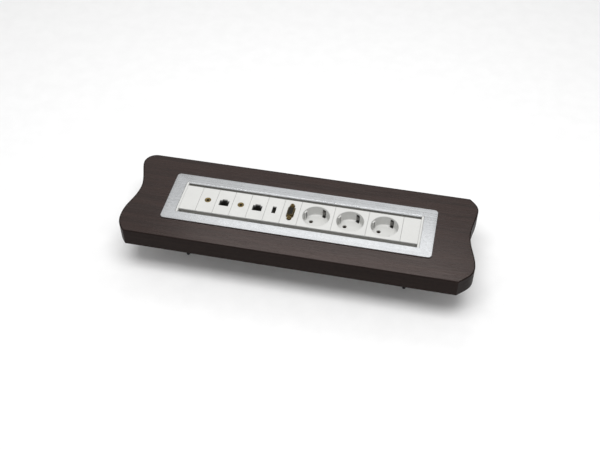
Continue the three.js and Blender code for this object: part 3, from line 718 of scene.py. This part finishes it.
def make_strip():
    """The extrusion: a deep trough for the modules between two side channels."""
    ends = (-STRIP_END, STRIP_END)
    trough_half = MODULE_HALF_WIDTH - 0.05
    strip = stock("extruded_strip", ends, (-31.4, 31.4), (CHANNEL_UNDER, FRAME_BOTTOM))
    mark(strip, "FACE", lambda m, n: n.z < -0.9)
    bpy.ops.mesh.inset(thickness=1 * MM)
    squeeze = trough_half / 30.4
    bpy.ops.transform.resize(value=(STRIP_END / (STRIP_END - 1), squeeze, 1), center_override=(0, 0, 0))
    draw_out(z=TROUGH_UNDER - CHANNEL_UNDER)
    bpy.ops.object.mode_set(mode="OBJECT")
    over = (-STRIP_END - 2, STRIP_END + 2)
    inner = trough_half - 1.6
    carve(strip, stock("trough", over, (-inner, inner), (TROUGH_FLOOR, FRAME_TOP)))
    carve(strip, stock("seat", over, (-trough_half - 0.01, trough_half + 0.01), (PLATE_UNDER, FRAME_TOP)))
    for side in (-1, 1):
        channel = sorted((side * trough_half, side * 29.9))
        carve(strip, stock("channel", over, channel, (CHANNEL_FLOOR, FRAME_TOP)))
        # A shallow undercut in the trough's outer wall makes a dark line along each channel.
        undercut = sorted((side * (trough_half - 1.1), side * (trough_half + 1)))
        carve(strip, stock("undercut", over, undercut, (CHANNEL_FLOOR + 0.4, CHANNEL_FLOOR + 3.6)))
        port = sorted((side * 17.6, side * (inner + 0.2)))
        weld(strip, stock("port", ends, port, (TROUGH_FLOOR - 0.1, END_SCREW_LEVEL + 2.8)))
    for sx, sy in FOUR_WAYS:
        bore = turn("bore", [(1.7, -14), (1.7, 1)], sides=20)
        carve(strip, on_side(bore, (sx * STRIP_END, sy * END_SCREW_Y, END_SCREW_LEVEL), sx * math.pi / 2))
    for place in range(1, 7):
        x = module_x(place)
        window = stock("window", (x - 10, x + 10), (-15, 15), (TROUGH_UNDER - 1, TROUGH_FLOOR + 1))
        carve(strip, round_over(window, 2, 3, upright))
    x = module_x(13)
    carve(strip, stock("window", (x - 8.3, x + 8.3), (-17.3, 17.3), (TROUGH_UNDER - 1, TROUGH_FLOOR + 1)))
    soften(strip, 0.15, 1, 40)
    fit(dress(strip, EXTRUDED), "brushed_aluminium", "strip_profile", crease=28)


def make_strip_end(side, name, node):
    """A moulded end that closes the trough and both channels and carries two lugs."""
    x = sorted((side * STRIP_END, side * (STRIP_END + END_THICKNESS)))
    wide = OPENING_HALF_WIDTH - 0.2
    top = FRAME_TOP - 0.1
    end = stock(name, x, (-wide, wide), (CHANNEL_UNDER, top))
    round_over(end, 1.2, 4, lambda m, a: upright(m, a) and side * m.x > STRIP_END + 3)
    round_over(end, 0.4, 3, at_level(top))
    lower = stock("lower", x, (-MODULE_HALF_WIDTH, MODULE_HALF_WIDTH), (TROUGH_UNDER, top - 1))
    weld(end, round_over(lower, 2, 4, lambda m, a: abs(a.x) > 0.9 and m.z < TROUGH_FLOOR))
    for sy in (-1, 1):
        y = sy * LUG_Y
        tip = side * (STRIP_END + 13.2)
        lug = stock("lug", sorted((side * (STRIP_END + 0.5), tip)), (y - 5, y + 5), (LUG_TOP - 3, LUG_TOP))
        round_over(lug, 3, 5, lambda m, a: upright(m, a) and abs(m.x - tip) < 0.1)
        weld(end, lug)
        carve(end, turn("bore", [(1.9, LUG_TOP - 4), (1.9, LUG_TOP + 1)], side * BOSS_X, y, 24))
        bore = turn("bore", [(1.7, -4), (1.7, 4)], sides=20)
        carve(end, on_side(bore, (side * (STRIP_END + 1.6), sy * END_SCREW_Y, END_SCREW_LEVEL), math.pi / 2))
    soften(end, 0.15, 2, 40)
    fit(dress(end, WHITE), "white_plastic", node)


def pan_screw(length):
    """A cross-slotted pan-head screw standing on its head, with a rolled thread."""
    profile = [(2.1, -2.2), (2.55, -2.05), (2.8, -1.7), (2.9, -1.2), (2.9, 0), (1.45, 0), (1.45, 0.7)]
    level, pitch = 0.7, 0.6
    while level + pitch < length - 1:
        profile += [(1.5, level + 0.15), (1.2, level + 0.45), (1.45, level + pitch)]
        level += pitch
    profile += [(1.4, length - 1), (0.8, length)]
    screw = turn("pan_screw", profile, sides=20)
    for x, y in ((2, 0.4), (0.4, 2)):
        carve(screw, stock("slot", (-x, x), (-y, y), (-3, -1.1)))
    return soften(screw, 0.06, 1, 50)


def make_screws():
    """Four screws up into the frame's bosses and four through the ends into the strip."""
    upright_screw = pan_screw(9.5)
    lying_screw = pan_screw(13)
    for count, (sx, sy) in enumerate(FOUR_WAYS, 1):
        place = {"x": sx * BOSS_X, "y": sy * LUG_Y, "z": FRAME_TOP - 12.6}
        screw = copied(upright_screw, f"frame_pan_screw_{count}", **place)
        fit(dress(screw, ZINC), "plated_steel", f"frame_screw_{count}")
        lying = copied(lying_screw, f"end_pan_screw_{count}")
        seat = (sx * (STRIP_END + END_THICKNESS), sy * END_SCREW_Y, END_SCREW_LEVEL)
        on_side(lying, seat, -sx * math.pi / 2)
        fit(dress(lying, ZINC), "plated_steel", f"cap_screw_{count}")
    for pattern in (upright_screw, lying_screw):
        bpy.data.objects.remove(pattern)


# ------------------------------------------------------------------ modules

def module_plate(name, x, units, through=()):
    """A moulded cover with soft edges and a skirt underneath, and its openings cut through."""
    half = (units * MODULE_PITCH - 0.3) / 2
    wide = MODULE_HALF_WIDTH
    plate = stock(name, (x - half, x + half), (-wide, wide), (PLATE_UNDER, PLATE_TOP))
    mark(plate, "FACE", lambda m, n: n.z < -0.9)
    bpy.ops.mesh.inset(thickness=2 * MM)
    draw_out(z=-5.8)
    bpy.ops.mesh.inset(thickness=1.2 * MM)
    draw_out(z=5.6)
    bpy.ops.object.mode_set(mode="OBJECT")
    round_over(plate, 0.45, 3, lambda m, a: upright(m, a) and abs(m.y) > wide - 0.1)
    round_over(plate, 0.3, 3, at_level(PLATE_TOP))
    return carve(plate, *through)


def make_blanks():
    """The two plain covers at the ends of the row."""
    for side, place in (("left", 0), ("right", 13)):
        plate = module_plate(f"blank_module_{side}", module_x(place), 1)
        fit(dress(plate, WHITE), "white_plastic", f"blank_plate_{side}")


def make_audio(index, x):
    """A round jack with a turned ring, a dark lining and two solder tags."""
    hole = [(4.2, PLATE_UNDER - 3), (4.2, PLATE_TOP - 0.2), (4.5, PLATE_TOP + 0.1), (4.5, PLATE_TOP + 1)]
    plate = module_plate(f"audio_module_{index}", x, 1, [turn("hole", hole, x, 0, 48)])
    fit(dress(plate, WHITE), "white_plastic", f"audio_plate_{index}")
    neck, ring = FRAME_TOP - 2.5, FRAME_TOP + 0.3
    outside = [
        (4.2, FRAME_TOP - 19), (4.4, FRAME_TOP - 18.8), (4.4, neck), (3.9, neck), (3.9, PLATE_TOP),
        (4.75, PLATE_TOP), (4.8, ring - 0.3), (4.6, ring - 0.1), (4.3, ring),
        (3.1, ring - 0.1), (2.7, ring - 0.35), (2.2, ring - 0.4),
    ]
    socket = turn(f"audio_socket_{index}", outside, x, 0, 48)
    bore = [(1.75, FRAME_TOP - 14), (1.75, ring - 0.9), (2.1, ring - 0.3), (2.3, ring + 1)]
    carve(socket, turn("bore", bore, x, 0, 32))
    lining = turn("lining", [(1.95, FRAME_TOP - 14.5), (1.95, ring - 1.0)], x, 0, 32)
    carve(lining, turn("bore", [(1.55, FRAME_TOP - 13.5), (1.55, ring)], x, 0, 32))
    tags = []
    for left in (x - 3, x + 2):
        tag = stock("tag", (left, left + 1), (-1.5, 1.5), (FRAME_TOP - 26, FRAME_TOP - 18.8))
        eye = turn("eye", [(0.6, -2), (0.6, 2)], sides=16)
        carve(tag, on_side(eye, (left, 0, FRAME_TOP - 24), math.pi / 2))
        tags.append(dress(soften(tag, 0.12, 1), GILT))
    dress(socket, BRASS)
    dress(lining, BLACK)
    fit(joined(f"audio_socket_{index}", [socket, lining, *tags]), "gilt_brass", f"audio_jack_{index}")


def stepped(name, x, main, step, low, high):
    """A stepped upright block: main is half width, front and rear; step is half width and rear."""
    block = stock(name, (x - main[0], x + main[0]), main[1:], (low, high))
    return weld(block, stock("step", (x - step[0], x + step[0]), (-1, step[1]), (low, high)))


def make_network(index, x):
    """A network port behind a stepped window, with a comb of eight gilt wires."""
    window = stepped("window", x, (7.2, -6.9, 3.9), (4, 6.2), PLATE_UNDER - 9, PLATE_TOP + 1)
    plate = module_plate(f"network_module_{index}", x, 1, [window])
    fit(dress(plate, WHITE), "white_plastic", f"data_plate_{index}")
    face = PLATE_UNDER
    back = FRAME_TOP - 33
    body = stock(f"network_socket_{index}", (x - 7.4, x + 7.4), (-8.2, 8.2), (back, face))
    round_over(body, 0.6, 2, upright)
    carve(body, stepped("port", x, (5.9, -4.9, 2), (3.1, 4.9), FRAME_TOP - 15, face + 1))
    weld(body, stock("comb", (x - 4.6, x + 4.6), (-5.0, -3.7), (FRAME_TOP - 15.2, FRAME_TOP - 7.5)))
    for side in (-1, 1):
        notch = sorted((x + side * 7.5, x + side * 5.6))
        carve(body, stock("notch", notch, (-5, 5), (back - 1, FRAME_TOP - 24)))
    soften(body, 0.12, 1, 40)
    dress(body, BLACK)
    wires = []
    for count in range(8):
        at = x + (count - 3.5) * 1.02
        wire = stock("wire", (at - 0.22, at + 0.22), (-4.1, -3.75), (FRAME_TOP - 11, FRAME_TOP - 5.5))
        mark(wire, "FACE", lambda m, n: n.z < -0.9)
        bpy.ops.transform.translate(value=(0, 3.4 * MM, 0))
        draw_out(y=0.3, z=-0.6)
        draw_out(y=-0.7, z=-0.6)
        bpy.ops.object.mode_set(mode="OBJECT")
        wires.append(dress(wire, GILT))
    fit(joined(f"network_socket_{index}", [body, *wires]), "black_plastic", f"data_jack_{index}")


def make_usb(x):
    """A slim port set crossways, with a dark tongue and four gilt strips."""
    mouth = stock("mouth", (x - 2.9, x + 2.9), (-6.8, 6.8), (PLATE_UNDER - 9, PLATE_TOP + 1))
    plate = module_plate("usb_module", x, 1, [round_over(mouth, 0.5, 3, upright)])
    fit(dress(plate, WHITE), "white_plastic", "usb_plate")
    face = PLATE_UNDER
    shell = stock("usb_socket", (x - 3.6, x + 3.6), (-7.6, 7.6), (FRAME_TOP - 24, face))
    round_over(shell, 0.5, 3, upright)
    inside = stock("inside", (x - 2.6, x + 2.6), (-6.3, 6.3), (FRAME_TOP - 12, face + 1))
    carve(shell, round_over(inside, 0.4, 3, upright))
    soften(shell, 0.15, 2, 40)
    tongue = stock("tongue", (x - 2, x - 0.2), (-5.6, 5.6), (FRAME_TOP - 12.3, FRAME_TOP - 3.6))
    dress(soften(tongue, 0.25, 2), DARK)
    dress(shell, BLACK)
    strips = []
    for y in (-3.5, -1.0, 1.0, 3.5):
        strip = stock("strip", (x - 0.35, x - 0.1), (y - 0.5, y + 0.5), (FRAME_TOP - 12.1, FRAME_TOP - 4.6))
        strips.append(dress(soften(strip, 0.06, 1), GILT))
    fit(joined("usb_socket", [shell, tongue, *strips]), "black_plastic", "usb_port")


def d_block(name, x, half_wide, half_long, low, high, corner):
    """A slanted D outline, long in Y, drawn up between two levels."""
    block = stock(name, (x - half_wide, x + half_wide), (-half_long, half_long), (low, high))
    mark(block, "FACE", lambda m, n: n.x > 0.9)
    slant = (half_long - half_wide * 0.36) / half_long
    bpy.ops.transform.resize(value=(1, slant, 1), center_override=((x + half_wide) * MM, 0, 0))
    bpy.ops.object.mode_set(mode="OBJECT")
    return round_over(block, corner, 5, upright)


def make_video(x):
    """A D-shaped connector with fifteen pin holes between two hexagonal posts."""
    post_ys = (-12.5, 12.5)
    window = stock("window", (x - 5.6, x + 5.6), (-10.6, 10.6), (PLATE_UNDER - 9, PLATE_TOP + 1))
    cuts = [round_over(window, 2.3, 3, upright)]
    for y in post_ys:
        cuts.append(turn("hole", [(3.9, PLATE_UNDER - 9), (3.9, PLATE_TOP + 1)], x, y, 32))
    plate = module_plate("video_module", x, 1, cuts)
    fit(dress(plate, WHITE), "white_plastic", "video_plate")
    flange_top = PLATE_UNDER
    flange = stock("video_socket", (x - 6.2, x + 6.2), (-15.4, 15.4), (flange_top - 1.2, flange_top))
    round_over(flange, 1.5, 4, upright)
    rim = flange_top + 5.4
    shell = d_block("shell", x, 4.2, 8.4, flange_top - 1, rim, 1.4)
    round_over(shell, 0.25, 2, at_level(rim))
    weld(flange, shell, stock("back", (x - 5.2, x + 5.2), (-9.5, 9.5), (FRAME_TOP - 17, flange_top - 1)))
    carve(flange, d_block("inside", x, 3.75, 7.95, rim - 0.9, rim + 1, 1.2))
    for y in post_ys:
        carve(flange, turn("hole", [(1.9, flange_top - 4), (1.9, flange_top + 1)], x, y, 24))
    soften(flange, 0.1, 1, 45)
    core = d_block("core", x, 3.65, 7.85, rim - 2, rim - 0.35, 1.1)
    for row, count, shift in ((-2.0, 5, 0.0), (0.0, 5, 1.1), (2.0, 5, 0.0)):
        for place in range(count):
            y = (place - 2) * 2.25 + shift - 0.4
            carve(core, turn("pin_hole", [(0.5, rim - 1.8), (0.5, rim)], x + row, y, 12))
    dress(flange, SHELL)
    dress(core, DARK)
    fit(joined("video_socket", [flange, core]), "gilt_brass", "video_connector")
    low = flange_top
    for index, y in enumerate(post_ys, 1):
        post = turn(f"video_post_{index}", [(2.9, low), (2.9, low + 5)], x, y, 6)
        trim = [(2.7, low - 0.1), (3.2, low + 0.4), (3.2, low + 4.6), (2.55, low + 5.1)]
        work(post, "INTERSECT", [turn("trim", trim, x, y, 48)])
        weld(post, turn("shank", [(1.3, low - 6), (1.5, low - 5.7), (1.5, low + 0.2)], x, y, 24))
        bore = [(1.1, low + 1), (1.3, low + 1.2), (1.3, low + 4.6), (1.75, low + 5.1)]
        carve(post, turn("bore", bore, x, y, 24))
        soften(post, 0.1, 2, 40)
        fit(dress(post, BRASS), "gilt_brass", f"video_standoff_{index}")


def make_power_socket():
    """One earthed socket: round well, guide ribs, pin holes and the slots of the earth springs."""
    floor = PLATE_TOP - 17.5
    under = floor - 2
    socket = module_plate("power_socket", 0, 2)
    weld(socket, turn("well", [(21.2, under), (21.4, under + 0.2), (21.4, PLATE_TOP - 0.6)], sides=96))
    bore = [
        (17.9, floor), (18.7, floor + 0.2), (19.3, floor + 0.65), (19.65, floor + 1.3), (19.75, floor + 2.2),
        (19.75, PLATE_TOP - 1.1), (19.85, PLATE_TOP - 0.75), (20.1, PLATE_TOP - 0.4),
        (20.45, PLATE_TOP - 0.15), (20.9, PLATE_TOP), (21.2, PLATE_TOP + 1),
    ]
    carve(socket, turn("bore", bore, sides=96))
    for half_turn in (0, math.pi):
        rib = stock("rib", (17.7, 20.6), (-3, 3), (floor - 0.5, PLATE_TOP - 3))
        round_over(rib, 0.8, 3, lambda m, a: m.x < 18 and abs(a.y) < 0.1)
        round_over(rib, 0.5, 3, at_level(PLATE_TOP - 3))
        pin_way, earth_way = PIN_LINE + half_turn, EARTH_LINE + half_turn
        rib.rotation_euler.z = pin_way
        weld(socket, settle(rib))
        carve(socket, stock("groove", (17, 23), (-1.3, 1.3), (floor + 0.4, PLATE_TOP - 3.4), pin_way))
        carve(socket, stock("slot", (17.4, 24), (-2.9, 2.9), (under - 1, PLATE_TOP - 3.6), earth_way))
        x, y = (9.5 * f(pin_way) for f in (math.cos, math.sin))
        hole = [(2.9, under - 1), (2.9, floor - 0.7), (3.15, floor - 0.25)]
        hole += [(3.6, floor + 0.05), (3.6, floor + 1)]
        carve(socket, turn("hole", hole, x, y, 40))
    soften(socket, 0.12, 2, 48)
    return dress(socket, WHITE)


def make_power_sockets():
    """The pattern socket copied to its three places."""
    pattern = make_power_socket()
    for index, x in enumerate(SOCKET_XS, 1):
        socket = copied(pattern, f"power_socket_{index}", x=x)
        fit(socket, "white_plastic", f"socket_insert_{index}", crease=30)
    bpy.data.objects.remove(pattern)


# ------------------------------------------------------------------ underside

def make_inlet():
    """The mains inlet under the right end of the trough, with three gilt pins."""
    x, bottom, seat = 162.5, FRAME_TOP - 55, TROUGH_UNDER
    body = stock("inlet_housing", (x - 8, x + 8), (-17, 17), (bottom, FRAME_TOP - 27))
    round_over(body, 2, 4, upright)
    flange = stock("flange", (x - 10, x + 10), (-20, 20), (seat - 2, seat))
    weld(body, round_over(flange, 1.5, 4, upright))
    inside = stock("inside", (x - 5.5, x + 5.5), (-14, 14), (bottom - 1, FRAME_TOP - 43))
    carve(body, round_over(inside, 1.8, 4, upright))
    dress(soften(body, 0.25, 2, 40), BLACK)
    pins = []
    for y in (-8.5, 0, 8.5):
        pin = [(0.7, bottom + 2), (1.3, bottom + 2.4), (1.6, bottom + 3.2), (1.6, TROUGH_FLOOR)]
        pins.append(dress(turn("pin", pin, x, y, 24), GILT))
    fit(joined("inlet_housing", [body, *pins]), "black_plastic", "mains_inlet")


def make_stud():
    """A threaded stud with a flat head under the frame."""
    profile = [(1.7, 0), (2.1, 0.5)]
    level, pitch = 0.8, 0.8
    while level < 74:
        profile += [(2.02, level), (2.45, level + 0.3), (2.45, level + 0.42)]
        level += pitch
    head = FRAME_BOTTOM - 1.2
    profile += [(2.2, level), (2.2, head), (4.2, head), (4.4, FRAME_BOTTOM - 1.0), (4.4, FRAME_BOTTOM)]
    return turn("threaded_stud", profile, sides=24)


def make_clamp_sheet():
    """A bracket bent from sheet, its foot under the board and its leg up inside the cut-out."""
    inner, outer, bottom, leg_top = 25, 66, CLAMP_UNDER, 62
    bend = inner + 2.5
    sheet = stock("bent_clamp", (-10, 10), (bend, outer), (bottom, BOARD_BOTTOM))
    mark(sheet, "FACE", lambda m, n: n.y < -0.9)
    draw_out(y=inner - bend)
    mark(sheet, "FACE", lambda m, n: n.z > 0.9 and m.y < bend)
    draw_out(z=leg_top - BOARD_BOTTOM)
    bpy.ops.object.mode_set(mode="OBJECT")
    round_over(sheet, 4, 5, lambda m, a: upright(m, a) and m.y > outer - 1)
    round_over(sheet, 3, 5, lambda m, a: abs(a.y) > 0.9 and m.z > leg_top - 1)
    round_over(sheet, 2, 5, lambda m, a: abs(a.x) > 0.9 and m.y < inner + 0.1 and m.z < bottom + 0.1)
    carve(sheet, turn("bore", [(2.9, bottom - 1), (2.9, BOARD_BOTTOM + 1)], 0, STUD_Y, 32))
    return soften(sheet, 0.25, 2, 40)


def make_nut(bottom):
    """A flanged hexagon nut with chamfered corners."""
    across = 8 / math.sqrt(3)
    nut = turn("flange_nut", [(across, bottom - 5), (across, bottom - 0.5)], sides=6)
    trim = turn("trim", [(3.9, bottom - 5), (across + 0.3, bottom - 4.2), (across + 0.3, bottom)], sides=48)
    work(nut, "INTERSECT", [trim])
    flange = [(5.9, bottom), (5.9, bottom - 0.7), (5.3, bottom - 1.2), (4.2, bottom - 1.7)]
    bore = [(3.2, bottom - 6), (3.2, bottom - 5), (2.9, bottom - 4.6), (2.9, bottom + 1)]
    weld(nut, turn("flange", flange, sides=48))
    carve(nut, turn("bore", bore, sides=32))
    return soften(nut, 0.12, 1, 40)


def make_clamps():
    """Four studs, each with a clamp that slides on it and a nut that turns below the clamp."""
    stud, sheet, nut = make_stud(), make_clamp_sheet(), make_nut(CLAMP_UNDER)
    for index, (x, y) in STUDS.items():
        threaded = dress(copied(stud, f"threaded_stud_{index}", x, y), BLACKED)
        fit(threaded, "plated_steel", f"mounting_stud_{index}", crease=50)
        clamp = copied(sheet, f"steel_clamp_{index}", x, mirror=1 if y < 0 else None)
        fit(dress(clamp, ROLLED), "plated_steel", f"clamp_bracket_{index}", body=f"bracket_{index}")
        spinner = copied(nut, f"flange_nut_{index}", x, y)
        fit(dress(spinner, ZINC), "plated_steel", f"clamp_nut_{index}", body=f"nut_{index}")
    for pattern in (stud, sheet, nut):
        bpy.data.objects.remove(pattern)


# ------------------------------------------------------------------ camera, light and floor

def make_camera():
    """A view from the operator's side, a little to the right, looking down on the strip."""
    azimuth, elevation, roll = (math.radians(v) for v in (12.53, 46.37, -0.58))
    back = Vector((
        math.sin(azimuth) * math.cos(elevation), -math.cos(azimuth) * math.cos(elevation), math.sin(elevation)
    ))
    right = Vector((0, 0, 1)).cross(back).normalized()
    up = back.cross(right)
    across = math.cos(roll) * right + math.sin(roll) * up
    upward = math.cos(roll) * up - math.sin(roll) * right
    bpy.ops.object.camera_add()
    camera = bpy.context.object
    camera.name = "view_camera"
    stand = Matrix.Translation((0.1992, -0.8916, 1.0175))
    camera.matrix_world = stand @ Matrix((across, upward, back)).transposed().to_4x4()
    camera.data.sensor_width = 36
    camera.data.lens = 54.05
    bpy.context.scene.camera = camera


def softbox(name, place, target, width, length, power):
    """A rectangular soft lamp aimed at a point."""
    bpy.ops.object.light_add(type="AREA", location=place)
    lamp = bpy.context.object
    lamp.name = name
    lamp.data.shape = "RECTANGLE"
    lamp.data.size = width
    lamp.data.size_y = length
    lamp.data.energy = power
    lamp.rotation_euler = (Vector(target) - Vector(place)).to_track_quat("-Z", "Y").to_euler()


def make_studio():
    """A pale paper floor, two soft lamps and an even air light."""
    bpy.ops.object.select_all(action="DESELECT")
    bpy.ops.mesh.primitive_plane_add(size=12)
    floor = bpy.context.object
    floor.name = "studio_floor"
    paper = Finish("pale_paper", (0.88, 0.88, 0.88), Roughness=0.9)
    grit = paper.effect(FINE_GRIT, paper.place, Scale=300.0)
    paper.feed("Base Color", blend(paper.tree, grit["Clouds"], (0.88, 0.88, 0.88), (0.86, 0.86, 0.86)))
    dress(floor, paper.material)
    softbox("near_softbox", (-0.03, 0.38, 0.70), (0, -0.05, 0.08), width=0.66, length=0.22, power=0.55)
    softbox("overhead_softbox", (0.1, -0.5, 2.4), (0, 0, 0.08), width=2.0, length=1.2, power=47)
    world = bpy.data.worlds.new("studio_air")
    world.use_nodes = True
    air = world.node_tree.nodes["Background"].inputs
    air["Color"].default_value = (1, 1, 1, 1)
    air["Strength"].default_value = 0.51
    bpy.context.scene.world = world
    bpy.context.scene.view_settings.view_transform = "Standard"


# ------------------------------------------------------------------ build

make_camera()
make_studio()
make_board()
make_frame()
make_strip()
make_strip_end(-1, "strip_end_left", "end_cap_left")
make_strip_end(1, "strip_end_right", "end_cap_right")
make_screws()
make_blanks()
for pair in (1, 2):
    make_audio(pair, module_x(2 * pair - 1))
    make_network(pair, module_x(2 * pair))
make_usb(module_x(5))
make_video(module_x(6))
make_power_sockets()
make_inlet()
make_clamps()
